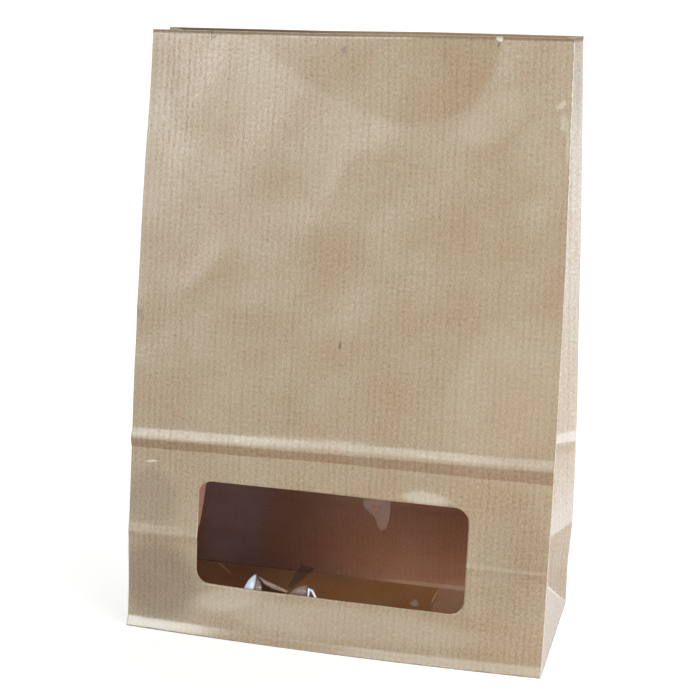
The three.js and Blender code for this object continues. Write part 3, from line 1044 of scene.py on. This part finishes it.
def clear_film():
    """The clear sheet, a little dusty, with a faint blue painted reflection at the left."""
    material = new_material("clear_window_film")
    tree = material.node_tree
    flat = paper_place(tree)
    place = split(tree, flat)
    # The faint blue painted reflection at the left of the film.
    left = remap(tree, place["X"], -60 * MM, -52 * MM)
    right = remap(tree, place["X"], -34 * MM, -25 * MM, 1.0, 0.0)
    low = remap(tree, place["Y"], 30 * MM, 42 * MM)
    painted_blue_reflection = sums(tree, "MULTIPLY", sums(tree, "MULTIPLY", left, right), low)
    dust = remap(tree, noise(tree, flat, 90.0, 4.0, 0.7), 0.45, 0.8, 0.02, 0.05)
    surface_of(tree, {
        "Base Color": blend_colour(tree, painted_blue_reflection, (0.1, 0.08, 0.07, 1), (0.11, 0.115, 0.165, 1)),
        "Roughness": 0.06,
        "IOR": 1.6,
        "Alpha": sums(tree, "MULTIPLY_ADD", painted_blue_reflection, 0.02, dust),
    })
    return material


# How the film's facets are painted, as painted highlight, painted light, painted shade and painted
# reflection: material, colour, alpha, roughness and IOR.
FILM_FINISHES = {
    # glint and bright are painted highlight and painted light, the shade finishes painted shade, and the last
    # two painted reflections on the film.
    "glint": ("film_glint", (0.72, 0.82, 0.95, 1), 0.92, 0.2, 1.6),
    "bright": ("film_fold_painted_light", (0.3, 0.2, 0.17, 1), 0.6, 0.25, 1.6),
    "shade": ("film_fold_shade", (0.01, 0.005, 0.003, 1), 0.45, 0.9, 1.05),
    "shade_soft": ("film_fold_dim", (0.012, 0.008, 0.008, 1), 0.3, 0.9, 1.05),
    "shade_thin": ("film_painted_reflection_hole", (0.2, 0.08, 0.04, 1), 0.25, 0.6, 1.6),
    "reflection": ("film_painted_reflection", (0.5, 0.4, 0.37, 1), 0.075, 0.3, 1.6),
    "reflection_thin": ("film_painted_reflection_thin", (0.5, 0.36, 0.3, 1), 0.03, 0.3, 1.6),
}


def film_finish(kind):
    """The finish of a facet of film, with its painted light, shade or reflection, made when it is first asked
    for.
    """
    name, colour, alpha, rough, ior = FILM_FINISHES[kind]
    if name in bpy.data.materials:
        return bpy.data.materials[name]
    material = new_material(name)
    surface_of(material.node_tree, {"Base Color": colour, "Roughness": rough, "IOR": ior, "Alpha": alpha})
    return material


# ---- Stage, lights and camera ----

def make_floor():
    """A pale floor that curves up behind into a pale wall."""
    reach, bend, high, sharp = 3.0, 1.0, 3.0, 30
    clear_selection()
    bpy.ops.mesh.primitive_plane_add(size=1)
    obj = bpy.context.active_object
    obj.name = "floor"
    obj.scale = (2 * reach, 2 * reach, 1)
    bpy.ops.object.transform_apply(location=True, rotation=True, scale=True)
    edit(obj)
    pick(obj, "EDGE", lambda e: all(v.co.y > reach - bend for v in e.verts))
    bpy.ops.mesh.extrude_region_move(TRANSFORM_OT_translate={"value": (0, 0, high)})
    pick(obj, "EDGE", lambda e: all(v.co.y > reach - bend and v.co.z < 0.1 for v in e.verts))
    bpy.ops.mesh.bevel(offset=bend, segments=24, profile=0.5, affect="EDGES")
    leave_edit()
    smooth(obj, sharp)
    obj.data.materials.append(pale_floor())


def pale_floor():
    """Matt white that glows a little, more so behind the bag."""
    material = new_material("pale_floor")
    tree = material.node_tree
    place = split(tree, shader(tree, "TexCoord").outputs["Object"])
    surface_of(tree, {
        "Base Color": (0.85, 0.85, 0.85, 1),
        "Roughness": 0.9,
        "Specular IOR Level": 0.1,
        "Emission Color": (1, 1, 1, 1),
        "Emission Strength": remap(tree, place["Y"], -0.1, 0.5, 0.44, 0.74),
    })
    return material


def soft_box(name, azimuth, elevation, distance, size, radiance, aim=0.12, colour=(1, 1, 1)):
    """An area light of this size in metres, turned to a point this far up the bag's middle.

    Azimuth is in degrees from the front to the right, as seen from above.
    """
    light = bpy.data.lights.new(name, "AREA")
    light.shape = "RECTANGLE"
    light.size, light.size_y = size
    light.color = colour
    light.energy = radiance * math.pi * size[0] * size[1]
    obj = bpy.data.objects.new(name, light)
    bpy.context.scene.collection.objects.link(obj)
    around, up = math.radians(azimuth), math.radians(elevation)
    away = Vector((math.sin(around) * math.cos(up), -math.cos(around) * math.cos(up), math.sin(up)))
    obj.location = away * distance + Vector((0, 0, aim))
    obj.rotation_euler = (-away).to_track_quat("-Z", "Y").to_euler()
    obj.visible_camera = False


def light_scene():
    """A pale room, two large boxes at the front left and three smaller ones at the right."""
    world = bpy.data.worlds.new("pale_room")
    world.use_nodes = True
    world.node_tree.nodes["Background"].inputs["Color"].default_value = (1, 1, 1, 1)
    world.node_tree.nodes["Background"].inputs["Strength"].default_value = 0.3
    bpy.context.scene.world = world
    soft_box("front_high", -14, 28, 1.4, (0.5, 0.4), 6.7, colour=(0.965, 1.0, 0.985))
    soft_box("front_left", -34, 20, 1.4, (0.5, 0.75), 4.9, colour=(0.965, 1.0, 0.985))
    soft_box("front_right", 45, 12, 1.0, (0.4, 0.4), 2.0)
    soft_box("right_front", 57, 2, 0.5, (0.36, 0.2), 6.0, aim=0.1)
    soft_box("right_near", 108, 0, 0.26, (0.3, 0.11), 2.0, aim=0.055)


# Fitted to the bag's corners in the photograph.
CAMERA_PLACE = (0.15675, -0.60518, 0.26798)
CAMERA_AZIMUTH, CAMERA_ELEVATION, CAMERA_ROLL = 14.758, 13.301, 0.996  # degrees
IMAGE = 700  # pixels, square
FOCAL_PIXELS = 1511.6


def make_camera():
    """The photograph's camera."""
    azimuth, elevation, roll = map(math.radians, (CAMERA_AZIMUTH, CAMERA_ELEVATION, CAMERA_ROLL))
    level = Vector((math.cos(azimuth), math.sin(azimuth), 0))
    away = Vector((-math.sin(azimuth), math.cos(azimuth), 0))
    ahead = math.cos(elevation) * away - math.sin(elevation) * Vector((0, 0, 1))
    up = level.cross(ahead)
    right = math.cos(roll) * level + math.sin(roll) * up
    up = math.cos(roll) * up - math.sin(roll) * level
    data = bpy.data.cameras.new("camera")
    data.sensor_width = 36
    data.lens = data.sensor_width * FOCAL_PIXELS / IMAGE
    data.clip_start = 0.05
    obj = bpy.data.objects.new("camera", data)
    bpy.context.scene.collection.objects.link(obj)
    turn = Matrix((right, up, -ahead)).transposed().to_4x4()
    obj.matrix_world = Matrix.Translation(CAMERA_PLACE) @ turn
    bpy.context.scene.camera = obj


bpy.context.scene.view_settings.view_transform = "Standard"
make_camera()
light_scene()
make_floor()
make_bag()
make_film()
